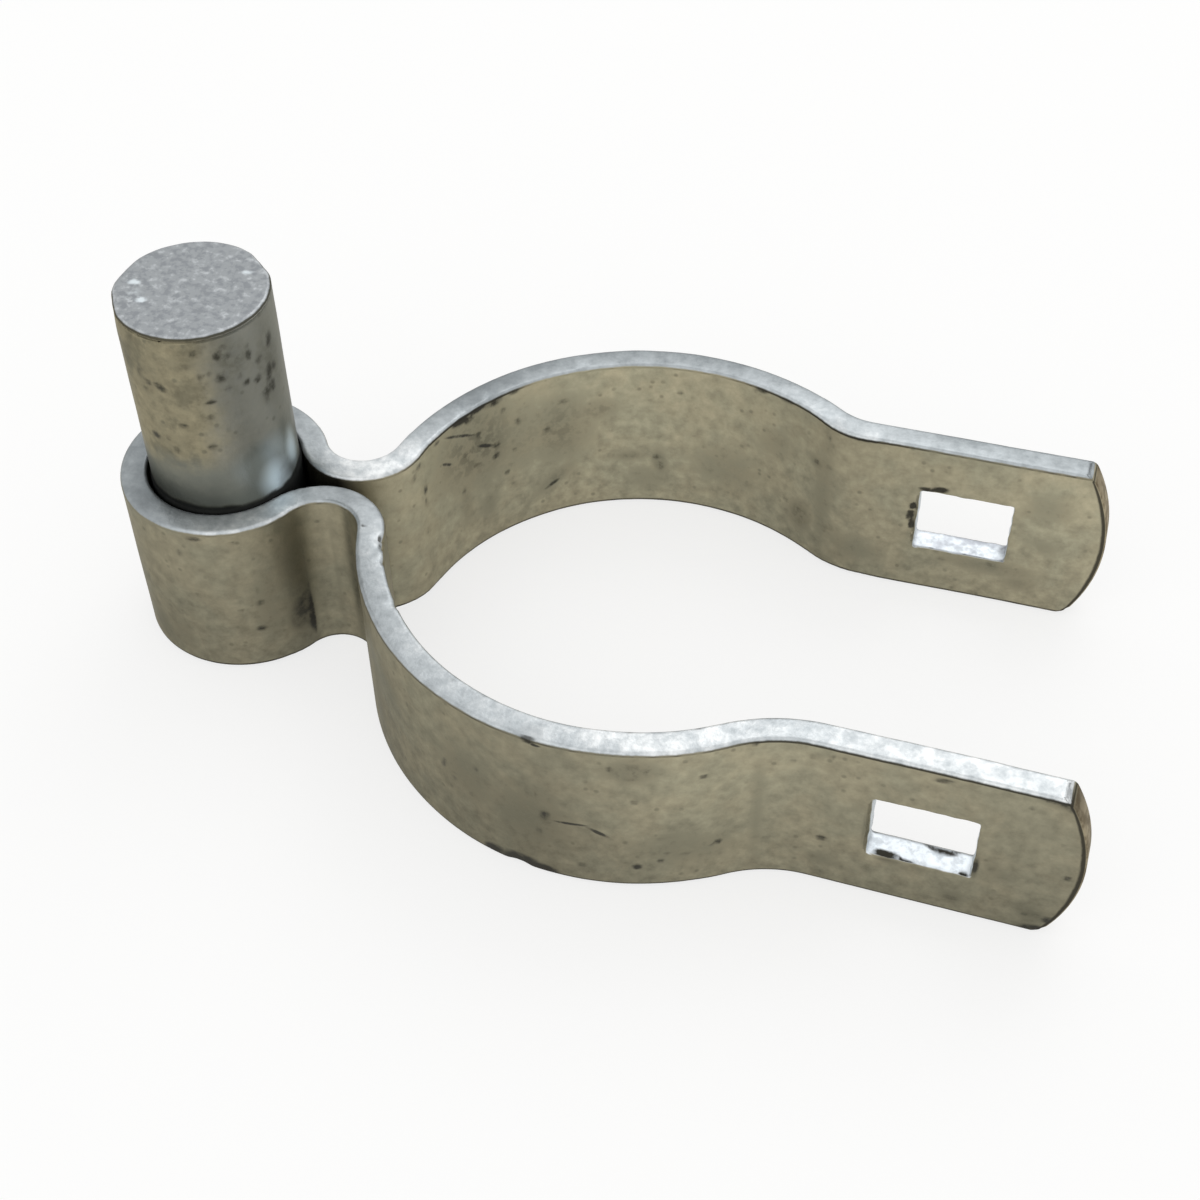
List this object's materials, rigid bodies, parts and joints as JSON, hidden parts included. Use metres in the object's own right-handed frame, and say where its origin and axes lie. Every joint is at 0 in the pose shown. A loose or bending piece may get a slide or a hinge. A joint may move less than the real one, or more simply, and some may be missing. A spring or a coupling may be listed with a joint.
{
  "type": "post hinge",
  "caption": "Galvanised post hinge: a steel strap bent round a fence post, with holed ears for its clamp bolt, holds in its loop the upright pin that the gate's half turns on.",
  "frame": {"origin": "on the post's axis, halfway up the strap", "axes": "+X from the pin towards the ears, -Y the front, +Z along the post, the way the pin stands"},
  "size_m": [0.1281, 0.0708, 0.0534],
  "materials": {
    "zinc_strap": "hot-dip galvanised, dull, weathered warm grey with brighter edges",
    "zinc_pin": "hot-dip galvanised bar, dull, with dark specks"
  },
  "bodies": {
    "root": {"band": "zinc_strap", "pin": "zinc_pin"}
  },
  "joints": []
}
